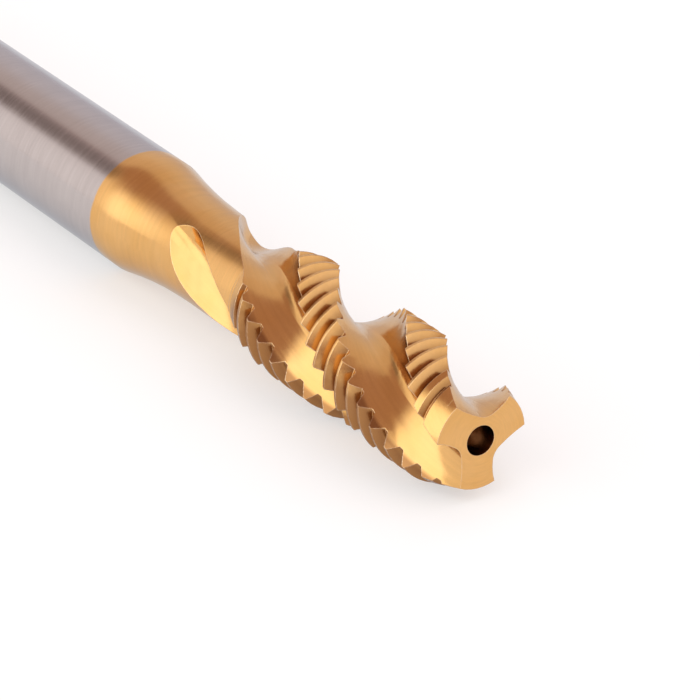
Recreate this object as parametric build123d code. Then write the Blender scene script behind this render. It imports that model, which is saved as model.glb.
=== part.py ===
from build123d import *
import os
from math import atan2, ceil, cos, floor, hypot, pi, radians, sin, sqrt, tan

# Spiral-flute machine tap for blind holes, ground from one bar of tool steel.
# The axis lies along X: the rear end face is at x = 0 and the cutting tip is at the far end.
# Z is up. Angles about the axis start at +Y and turn towards +Z.

# whole tool
overall_length = 90.0
nominal_d = 8.0
pitch = 1.25

# plain shank and its drive square
shank_d = 8.0
rear_chamfer = 0.8
square_share = 0.775
square_length = 9.0
square_runout_radius = 0.8

# reduced neck, which rises to the shank in one long concave arc
neck_share = 0.8125
plain_neck_length = 6.4
neck_blend_length = 7.9

# threaded length, with a cone down to the neck behind it and a tapered lead at the tip
thread_length = 20.4
back_cone_length = 2.6
major_allowance = 0.05
lead_pitches = 2.5
front_face_share = 0.7875
crest_flat_share = 0.125
root_flat_share = 0.2
flank_angle = 60.0
thread_start_angle = -116.0

# helical flutes, each ground as a cutting face, a round bottom and a heel
flute_count = 3
helix_angle = 35.2
land_angle = 43.5
rake_angle = 10.0
core_share = 0.375
core_taper = 0.006
bottom_radius_share = 0.14
bottom_angle = 30.4
heel_radius_share = 1.0
front_edge_angle = 50.0
flute_into_neck = 7.7
runout_angle = 40.0
runout_blend_radius = 4.0
runout_side_share = 0.7
section_step = 0.9

# centre hole in the front face
centre_hole_share = 0.65
centre_hole_depth = 3.0
drill_point_angle = 118.0

# derived sizes
shank_r = shank_d / 2
neck_r = neck_share * nominal_d / 2
core_r = core_share * nominal_d / 2
bottom_r = bottom_radius_share * nominal_d
heel_r = heel_radius_share * nominal_d
major_r = (nominal_d + major_allowance) / 2
front_r = front_face_share * nominal_d / 2
half_flank = radians(flank_angle / 2)
thread_depth = pitch * (1 - crest_flat_share - root_flat_share) / 2 / tan(half_flank)
root_r = major_r - thread_depth
threaded_reach = thread_length + back_cone_length
flute_length = threaded_reach + flute_into_neck
core_end_r = core_r + core_taper * flute_length
flute_lead = pi * nominal_d / tan(radians(helix_angle))
flute_step = 360 / flute_count
flute_angle = flute_step - land_angle
runout_slope = tan(radians(runout_angle))
runout_blend_length = runout_blend_radius * sin(radians(runout_angle))
runout_blend_rise = runout_blend_radius * (1 - cos(radians(runout_angle)))
runout_length = runout_blend_length + (neck_r - core_end_r - runout_blend_rise) / runout_slope
tip_x = overall_length
thread_x = tip_x - thread_length
cone_x = tip_x - threaded_reach
blend_x = cone_x - plain_neck_length
shoulder_x = blend_x - neck_blend_length


def blank():
    """The ground outline of the whole tool, before the square, flutes and thread."""
    rear = Polyline((0, 0), (0, shank_r - rear_chamfer), (rear_chamfer, shank_r), (shoulder_x, shank_r))
    blend = TangentArc((blend_x, neck_r), (shoulder_x, shank_r), tangent=(-1, 0))
    neck = Polyline((blend_x, neck_r), (cone_x, neck_r), (thread_x, major_r))
    lead_x = tip_x - lead_pitches * pitch
    front = Polyline((thread_x, major_r), (lead_x, major_r), (tip_x, front_r), (tip_x, 0))
    axis = Line((tip_x, 0), (0, 0))
    outline = make_face(Curve() + [rear, blend, neck, front, axis])
    return revolve(outline, Axis.X)


def square_cuts():
    """The four cutters that leave the drive square, each with a concave run-out."""
    long = square_length + 1
    block = Box(long, 2 * shank_d, shank_d, align=(Align.MAX, Align.CENTER, Align.MIN))
    inner_edge = block.edges().filter_by(Axis.Y).group_by(Axis.X)[-1].sort_by(Axis.Z)[0]
    block = fillet(inner_edge, square_runout_radius)
    block = Pos(square_length, 0, square_share * shank_d / 2) * block
    return [Rot(90 * side, 0, 0) * block for side in range(4)]


def centre_hole():
    """The drilled centre in the front face, with its conical bottom."""
    radius = centre_hole_share * core_r
    cone = radius / tan(radians(drill_point_angle / 2))
    bottom_x = tip_x - centre_hole_depth
    outline = Polyline(
        (tip_x + 1, 0),
        (tip_x + 1, radius),
        (bottom_x, radius),
        (bottom_x - cone, 0),
        close=True,
    )
    return revolve(make_face(outline), Axis.X)


def circles_meet(c1, r1, c2, r2, side):
    """One of the two points where two circles in a plane cross."""
    dx = c2[0] - c1[0]
    dy = c2[1] - c1[1]
    d = hypot(dx, dy)
    along = (d * d + r1 * r1 - r2 * r2) / (2 * d)
    across = side * sqrt(r1 * r1 - along * along)
    return (c1[0] + (dx * along - dy * across) / d, c1[1] + (dy * along + dx * across) / d)


def angle_from(centre, point):
    """The direction from one point to another, in radians."""
    return atan2(point[1] - centre[1], point[0] - centre[0])


def arc_frame(centre, radius, start, end):
    """An arc as two ends, the crossing of its end tangents between them, and a weight."""
    turn = (end - start + pi) % (2 * pi) - pi
    weight = cos(turn / 2)
    first = (centre[0] + radius * cos(start), centre[1] + radius * sin(start))
    middle = start + turn / 2
    knee = (centre[0] + radius / weight * cos(middle), centre[1] + radius / weight * sin(middle))
    last = (centre[0] + radius * cos(start + turn), centre[1] + radius * sin(start + turn))
    return first, knee, last, weight


def flute_arcs():
    """The cutting face, bottom and heel of a flute, with its cutting edge at angle 0."""
    outside = major_r + 0.5
    rake = radians(rake_angle)
    heel = radians(flute_angle)
    middle = radians(bottom_angle)
    heel_corner = (major_r * cos(heel), major_r * sin(heel))
    bottom_c = ((core_r + bottom_r) * cos(middle), (core_r + bottom_r) * sin(middle))
    # The face arc leaves the cutting edge at the rake angle and ends tangent to the bottom.
    dx = major_r - bottom_c[0]
    dy = -bottom_c[1]
    slope = dy * cos(rake) - dx * sin(rake)
    face_r = (dx * dx + dy * dy - bottom_r**2) / (-2 * (slope + bottom_r))
    face_c = (major_r - face_r * sin(rake), face_r * cos(rake))
    # The heel arc leaves the bottom tangent to it and passes through the heel corner.
    heel_c = circles_meet(bottom_c, heel_r - bottom_r, heel_corner, heel_r, -1)
    face_out = circles_meet((0, 0), outside, face_c, face_r, -1)
    heel_out = circles_meet((0, 0), outside, heel_c, heel_r, 1)
    turn_in = angle_from(face_c, bottom_c)
    turn_out = angle_from(heel_c, bottom_c)
    face_arc = arc_frame(face_c, face_r, angle_from(face_c, face_out), turn_in)
    bottom_arc = arc_frame(bottom_c, bottom_r, turn_in, turn_out)
    heel_arc = arc_frame(heel_c, heel_r, turn_out, angle_from(heel_c, heel_out))
    return face_arc, bottom_arc, heel_arc


def core_lift(x):
    """How far the slow rise of the core has raised a flute's cutter at x."""
    return core_taper * max(0.0, tip_x - x)


def runout_lift(x):
    """How far a flute's cutter has climbed in its run-out at x: along an arc, then straight."""
    into_runout = max(0.0, tip_x - flute_length + runout_length - x)
    if into_runout > runout_blend_length:
        return runout_blend_rise + (into_runout - runout_blend_length) * runout_slope
    return runout_blend_radius - sqrt(runout_blend_radius**2 - into_runout**2)


def flute_section(x, arcs, turn):
    """The closed outline of one flute's cutter in the plane at x."""
    rise = core_lift(x)
    lift = runout_lift(x)
    side = radians(runout_side_share * flute_angle)
    middle = radians(flute_angle / 2)
    angle = radians(front_edge_angle + turn) + 2 * pi * (x - tip_x) / flute_lead

    def place(point):
        u = point[0] + rise * cos(middle) + lift * cos(side)
        v = point[1] + rise * sin(middle) + lift * sin(side)
        return Vector(x, u * cos(angle) - v * sin(angle), u * sin(angle) + v * cos(angle))

    edges = []
    for first, knee, last, weight in arcs:
        edges.append(Edge.make_bezier(place(first), place(knee), place(last), weights=[1.0, weight, 1.0]))
    far = 1.75 * major_r
    over = (far * cos(middle), far * sin(middle))
    edges.append(Edge.make_bezier(place(arcs[2][2]), place(over), place(arcs[0][0])))
    return Wire(edges)


def flute_cut(turn):
    """The helical cutter of one flute, which climbs out of the neck at its rear end."""
    arcs = flute_arcs()
    start = tip_x + 1.5
    turning_in = tip_x - flute_length + runout_length
    end = tip_x - flute_length - 0.2 * runout_length
    full_steps = ceil((start - turning_in) / section_step)
    runout_steps = ceil((turning_in - end) / (section_step / 2))
    stations = [start + (turning_in - start) * i / full_steps for i in range(full_steps)]
    stations += [turning_in + (end - turning_in) * i / runout_steps for i in range(runout_steps + 1)]
    return Solid.make_loft([flute_section(x, arcs, turn) for x in stations])


def tooth_space(span):
    """One stretch of the V groove between two threads, long enough to cross a land."""
    overcut = pitch * crest_flat_share / 3
    root_half = pitch * root_flat_share / 2
    top_half = root_half + (thread_depth + overcut) * tan(half_flank)
    path = Helix(pitch, pitch * span / 360, root_r)
    outline = Polyline(
        (root_r, 0, -root_half),
        (major_r + overcut, 0, -top_half),
        (major_r + overcut, 0, top_half),
        (root_r, 0, root_half),
        close=True,
    )
    along_x = Rot(90, 0, 0) * Rot(0, 90, 0)
    return along_x * sweep(make_face(outline), path=path, is_frenet=True)


def thread_cuts():
    """The grooves of the thread, one stretch for each crossing of a land."""
    span = land_angle + 14
    space = tooth_space(span)
    spacing = pitch / (1 - pitch / flute_lead)
    cuts = []
    for land in range(flute_count):
        middle = front_edge_angle + land * flute_step - land_angle / 2
        first = (middle - thread_start_angle) / 360
        for turn in range(floor(first), ceil(first + threaded_reach / pitch) + 1):
            x = spacing * (first - turn)
            if -threaded_reach < x < pitch / 2:
                angle = middle + 360 * x / flute_lead - span / 2
                cuts.append(Pos(tip_x + x - pitch * span / 720, 0, 0) * Rot(angle, 0, 0) * space)
    return cuts


tap = blank() - square_cuts() - centre_hole()
tap -= [flute_cut(flute_step * flute) for flute in range(flute_count)]
tap -= thread_cuts()

os.makedirs("parts", exist_ok=True)
export_step(tap, "parts/tap.step")
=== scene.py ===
import math

import bpy
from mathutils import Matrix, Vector

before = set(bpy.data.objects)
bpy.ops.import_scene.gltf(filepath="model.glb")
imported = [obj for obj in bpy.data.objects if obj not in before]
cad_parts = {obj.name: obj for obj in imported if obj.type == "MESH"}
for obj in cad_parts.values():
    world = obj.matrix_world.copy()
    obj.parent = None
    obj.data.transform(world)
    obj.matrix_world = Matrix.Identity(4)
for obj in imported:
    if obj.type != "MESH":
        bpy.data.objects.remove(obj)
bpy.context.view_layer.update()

# Places on the tool are in millimetres: along x from its rear end, or out from its axis.
MM = 0.001
TIP_X = 90.0
COAT_X = 51.3
SHOULDER_X = 52.7
NECK_X = 60.6
NECK_ARC_R = 41.98
NECK_R = 3.25
RUNOUT_X = 60.0
THREAD_X = 67.0
ROOT_R = 3.30
CREST_R = 4.00
FLUTE_LEAD = 35.63
HOLE_R = 0.97
HOLE_MOUTH = 0.25
FLOOR_Z = -4.03

# The floor's half width and the lamp are in metres.
FLOOR_HALF = 1.5
FLOOR_GLOW = 0.5
LAMP_PLACE = (0.00, 0.35, 0.75)
LAMP_AIM = (0.05, 0, 0)

GOLD = ((0.74, 0.415, 0.14), (0.76, 0.44, 0.165))
STEEL = ((0.505, 0.453, 0.435), (0.52, 0.468, 0.45))
EDGE_TINT = (0.72, 0.76, 0.82, 1)
CORNER_SHADE = (0.16, 0.06, 0.02)
FLANK_SHADE = (0.22, 0.085, 0.03)
# painted shade: brown for the lower side of the thread
LOWER_THREAD_SHADE = (0.26, 0.105, 0.042)
# partly pale edge wear, partly painted highlight on sharp edges
EDGE_WEAR_AND_HIGHLIGHT = (0.86, 0.66, 0.47)
# painted shade inside the centre hole
HOLE_SHADE = (0.30, 0.20, 0.14)
ROUGHNESS = 0.19
FRONT_ROUGHNESS = (0.42, 0.42, 0.42)

CAMERA_PLACE = (0.295641, -0.142800, 0.130800)
CAMERA_DIRECTION = (-0.750297, 0.487596, -0.446436)

scene = bpy.context.scene
scene.view_settings.view_transform = "Standard"


def add_object(name, data):
    """A new object in the scene, turned by a quaternion."""
    made = bpy.data.objects.new(name, data)
    scene.collection.objects.link(made)
    made.rotation_mode = "QUATERNION"
    return made


def look_along(thing, direction):
    """Turn a camera or lamp to face along a direction, upright."""
    thing.rotation_quaternion = Vector(direction).to_track_quat("-Z", "Y")


# camera
cam_data = bpy.data.cameras.new("camera")
cam_data.sensor_width = 36.0
cam_data.lens = 246.857
cam_data.clip_start = 0.01
cam_data.clip_end = 10.0
cam = add_object("camera", cam_data)
cam.location = CAMERA_PLACE
look_along(cam, CAMERA_DIRECTION)
scene.camera = cam


class Graph:
    """Short ways to add and join the nodes of one node tree."""

    def __init__(self, tree):
        self.tree = tree

    def node(self, kind, **settings):
        made = self.tree.nodes.new(kind)
        for key, value in settings.items():
            setattr(made, key, value)
        return made

    def put(self, socket, value):
        if isinstance(value, bpy.types.NodeSocket):
            self.tree.links.new(value, socket)
        else:
            socket.default_value = value

    def math(self, operation, a, b=0.0):
        made = self.node("ShaderNodeMath", operation=operation)
        self.put(made.inputs[0], a)
        self.put(made.inputs[1], b)
        return made.outputs[0]

    def add(self, a, b):
        return self.math("ADD", a, b)

    def take(self, a, b):
        return self.math("SUBTRACT", a, b)

    def times(self, first, *others):
        for other in others:
            first = self.math("MULTIPLY", first, other)
        return first

    def largest(self, first, *others):
        for other in others:
            first = self.math("MAXIMUM", first, other)
        return first

    def vary(self, value, spread):
        """A noise from 0 to 1 made to swing evenly about zero."""
        return self.times(self.take(value, 0.5), spread)

    def ramp(self, value, low, high, out_low=0.0, out_high=1.0):
        made = self.node("ShaderNodeMapRange", interpolation_type="SMOOTHSTEP")
        names = ("Value", "From Min", "From Max", "To Min", "To Max")
        for name, v in zip(names, (value, low, high, out_low, out_high)):
            self.put(made.inputs[name], v)
        return made.outputs["Result"]

    def mix(self, factor, a, b, blend="MIX"):
        made = self.node("ShaderNodeMix", data_type="RGBA", blend_type=blend)
        for name, value in (("Factor", factor), ("A", a), ("B", b)):
            self.put(made.inputs[name], (*value, 1) if isinstance(value, tuple) else value)
        return made.outputs["Result"]

    def combine(self, x, y, z):
        made = self.node("ShaderNodeCombineXYZ")
        for socket, value in zip(made.inputs, (x, y, z)):
            self.put(socket, value)
        return made.outputs[0]

    def separate(self, vector):
        made = self.node("ShaderNodeSeparateXYZ")
        self.put(made.inputs[0], vector)
        return made.outputs

    def dot(self, a, b):
        made = self.node("ShaderNodeVectorMath", operation="DOT_PRODUCT")
        self.put(made.inputs[0], a)
        self.put(made.inputs[1], b)
        return made.outputs["Value"]

    def turn_normal(self, normal, start, end):
        """A normal taken from object to world space, or back."""
        made = self.node("ShaderNodeVectorTransform", vector_type="NORMAL")
        made.convert_from, made.convert_to = start, end
        self.put(made.inputs[0], normal)
        return made.outputs[0]

    def bevel(self, radius):
        made = self.node("ShaderNodeBevel", samples=6)
        made.inputs["Radius"].default_value = radius * MM
        return made.outputs[0]

    def noise(self, vector, scale, detail=2.0, rough=0.5):
        made = self.node("ShaderNodeTexNoise")
        self.put(made.inputs["Vector"], vector)
        made.inputs["Scale"].default_value = scale
        made.inputs["Detail"].default_value = detail
        made.inputs["Roughness"].default_value = rough
        return made.outputs["Fac"]


def new_material(name):
    """An empty node material: the material, its graph and its output node."""
    material = bpy.data.materials.new(name)
    material.use_nodes = True
    material.node_tree.nodes.clear()
    graph = Graph(material.node_tree)
    return material, graph, graph.node("ShaderNodeOutputMaterial")


# floor: white, and to the camera and in reflections partly lit by itself
material, g, out = new_material("floor_white")
white = g.node("ShaderNodeBsdfDiffuse")
white.inputs["Color"].default_value = (0.93, 0.93, 0.93, 1)
glow = g.node("ShaderNodeEmission")
path = g.node("ShaderNodeLightPath").outputs
seen = g.largest(path["Is Camera Ray"], path["Is Glossy Ray"], path["Is Transmission Ray"])
blend = g.node("ShaderNodeMixShader")
g.put(blend.inputs[0], g.times(seen, FLOOR_GLOW))
g.put(blend.inputs[1], white.outputs[0])
g.put(blend.inputs[2], glow.outputs[0])
g.put(out.inputs["Surface"], blend.outputs[0])

floor_mesh = bpy.data.meshes.new("floor")
signs = ((-1, -1), (1, -1), (1, 1), (-1, 1))
corners = [(FLOOR_HALF * a, FLOOR_HALF * b, FLOOR_Z * MM) for a, b in signs]
floor_mesh.from_pydata(corners, [], [(0, 1, 2, 3)])
floor_mesh.materials.append(material)
add_object("floor", floor_mesh)

# world: a dim warm dome with soft round patches, most of them paler
world = bpy.data.worlds.new("world")
scene.world = world
world.use_nodes = True
g = Graph(world.node_tree)
direction = g.node("ShaderNodeTexCoord").outputs["Generated"]


def patch(azimuth, elevation, inner, outer):
    """How far a direction is inside a soft round patch of the world, in degrees."""
    a, e = math.radians(azimuth), math.radians(elevation)
    middle = (math.cos(e) * math.cos(a), math.cos(e) * math.sin(a), math.sin(e))
    edge, full = math.cos(math.radians(outer)), math.cos(math.radians(inner))
    return g.ramp(g.dot(direction, middle), edge, full)


dome = (0.48, 0.31, 0.28)
dome = g.mix(patch(143, 8, 43, 50), dome, (0.79, 0.67, 0.63))
dome = g.mix(patch(143, 4, 20, 40), dome, (0.88, 0.81, 0.82))
dome = g.mix(patch(25, 22, 28, 50), dome, (1.12, 1.07, 1.13))
dome = g.mix(patch(-150, 2, 18, 46), dome, (1.14, 1.07, 1.05))
dome = g.mix(patch(-166, 32, 0, 13), dome, (0.30, 0.235, 0.22))
bright = g.largest(patch(-95, 18, 20, 47), patch(-42, 45, 16, 28), patch(-80, 50, 6, 18))
dome = g.mix(bright, dome, (1.85, 1.90, 1.90))
g.put(world.node_tree.nodes["Background"].inputs[0], dome)

# one soft lamp, a metre square, whose face looks as bright as a white surface
light = bpy.data.lights.new("top_box", "AREA")
light.size = 1.0
light.energy = math.pi
top = add_object("top_box", light)
top.location = LAMP_PLACE
look_along(top, Vector(LAMP_AIM) - Vector(LAMP_PLACE))
top.visible_glossy = False

# ground steel, coated gold from the tip to just behind the shoulder
material, g, out = new_material("tool_steel")
shader = g.node("ShaderNodeBsdfPrincipled")
shader.inputs["Metallic"].default_value = 1.0
shader.inputs["Specular Tint"].default_value = EDGE_TINT
scaled = g.node("ShaderNodeVectorMath", operation="SCALE")
g.put(scaled.inputs[0], g.node("ShaderNodeTexCoord").outputs["Object"])
scaled.inputs["Scale"].default_value = 1 / MM
place = scaled.outputs[0]
x, y, z = g.separate(place)
r = g.math("SQRT", g.add(g.times(y, y), g.times(z, z)))
phi = g.math("ARCTAN2", z, y)
front_face = g.ramp(x, TIP_X - 0.02, TIP_X - 0.005)
rear_face = g.ramp(x, 0.005, 0.02, 1.0, 0.0)
threaded = g.ramp(x, THREAD_X, THREAD_X + 0.6)
surface = g.node("ShaderNodeNewGeometry").outputs["True Normal"]

# the coating's edge wanders a little
edge = g.add(x, g.vary(g.noise(place, 0.6, 3.0), 0.25))
coated = g.ramp(edge, COAT_X - 0.12, COAT_X + 0.12)

# fine marks: rings on the shank and neck, lines along the flutes, arcs on the end faces
ring = g.noise(g.combine(g.times(x, 3.0), g.times(phi, 0.5), 0.0), 1.0, 5.0, 0.65)
turn = g.take(phi, g.times(x, 2 * math.pi / FLUTE_LEAD))
wide = g.times(r, 3.0)
spiral = g.combine(
    g.times(g.math("COSINE", turn), wide),
    g.times(g.math("SINE", turn), wide),
    g.times(x, 0.2),
)
along = g.noise(spiral, 1.0, 5.0, 0.65)
arcs = g.noise(g.combine(g.times(r, 9.0), g.times(phi, 1.5), 3.0), 1.0, 4.0, 0.6)
in_flute = g.times(g.ramp(x, RUNOUT_X - 3.0, RUNOUT_X), g.ramp(r, NECK_R - 0.09, NECK_R - 0.03, 1.0, 0.0))
marks = g.mix(g.largest(in_flute, threaded), ring, along)
marks = g.mix(g.largest(front_face, rear_face), marks, arcs)

# colour
cloud = g.ramp(g.noise(place, 0.35, 3.0), 0.35, 0.65)
speck = g.noise(place, 6.0, 3.0, 0.6)
tint = g.mix(coated, g.mix(cloud, *STEEL), g.mix(cloud, *GOLD))
tint = g.mix(1.0, tint, g.ramp(marks, 0.30, 0.70, 0.95, 1.03), "MULTIPLY")

# painted shade: tight corners are darkened by an ambient occlusion mask
hollow = g.node("ShaderNodeAmbientOcclusion", only_local=True, samples=8)
hollow.inputs["Distance"].default_value = 0.6 * MM
openness = hollow.outputs["AO"]
tint = g.mix(g.take(1.0, g.ramp(openness, 0.15, 0.80, 0.30, 1.0)), tint, CORNER_SHADE)

# painted shade: the flanks of the thread darken towards its root
slope = g.math("ABSOLUTE", g.separate(g.turn_normal(surface, "WORLD", "OBJECT"))[0])
flank = g.times(g.ramp(slope, 0.70, 0.80), threaded, g.ramp(x, TIP_X - 0.05, TIP_X - 0.02, 1.0, 0.0))
tint = g.mix(g.times(flank, g.ramp(r, ROOT_R, CREST_R, 0.62, 0.0)), tint, FLANK_SHADE)

# painted shade: the thread is darkened brown, mostly on its lower side, standing in for dark reflections
# from below
height = g.add(g.times(y, 0.80), g.times(z, 0.60))
height = g.add(height, g.vary(g.noise(place, 0.9, 3.0), 2.2))
lower_thread_shade = g.times(g.ramp(height, -3.2, -1.3, 1.0, 0.0), threaded, g.ramp(r, NECK_R, NECK_R + 0.35))
tint = g.mix(g.times(lower_thread_shade, 0.75), tint, LOWER_THREAD_SHADE)

# partly pale wear, partly painted highlight: the coating is made pale along the sharp edges of the teeth
# and flutes
bend = g.dot(g.bevel(0.10), surface)
edge_wear_and_highlight = g.times(g.ramp(bend, 0.88, 0.985, 1.0, 0.0), g.ramp(openness, 0.55, 0.75))
edge_wear_and_highlight = g.times(edge_wear_and_highlight, g.ramp(speck, 0.35, 0.60, 0.15, 0.65))
tint = g.mix(g.times(edge_wear_and_highlight, coated), tint, EDGE_WEAR_AND_HIGHLIGHT)

# painted shade: the centre hole is darkened brown inside, fading out at its mouth
hole_shade = g.times(g.ramp(r, HOLE_R, HOLE_R + 0.05, 1.0, 0.0), g.ramp(x, 80.0, 81.0))
hole_shade = g.times(hole_shade, g.ramp(x, TIP_X - HOLE_MOUTH, TIP_X - 0.02, 0.8, 0.0))
g.put(shader.inputs["Base Color"], g.mix(hole_shade, tint, HOLE_SHADE))

# roughness
rough = g.add(g.add(g.vary(marks, 0.20), g.vary(speck, 0.08)), ROUGHNESS)
g.put(shader.inputs["Roughness"], g.mix(front_face, rough, FRONT_ROUGHNESS))

# the shoulder is polished round: its normal swings smoothly from the shank to the neck's arc
lean = g.times(g.take(NECK_X, x), 1 / NECK_ARC_R)
lean = g.times(lean, g.ramp(x, SHOULDER_X - 1.5, SHOULDER_X + 1.5))
level = g.math("DIVIDE", g.math("SQRT", g.take(1.0, g.times(lean, lean))), r)
polished = g.turn_normal(g.combine(lean, g.times(y, level), g.times(z, level)), "OBJECT", "WORLD")
shoulder = g.ramp(x, SHOULDER_X - 1.6, SHOULDER_X - 1.5)
shoulder = g.times(shoulder, g.ramp(x, SHOULDER_X + 1.6, SHOULDER_X + 1.9, 1.0, 0.0))
normal = g.mix(shoulder, g.bevel(0.07), polished)

# bump
bump = g.node("ShaderNodeBump")
bump.inputs["Strength"].default_value = 0.35
bump.inputs["Distance"].default_value = 0.007 * MM
g.put(bump.inputs["Height"], g.add(marks, g.times(speck, 0.4)))
g.put(bump.inputs["Normal"], normal)
g.put(shader.inputs["Normal"], bump.outputs[0])
g.put(out.inputs["Surface"], shader.outputs[0])

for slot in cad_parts["tap"].material_slots:
    slot.material = material
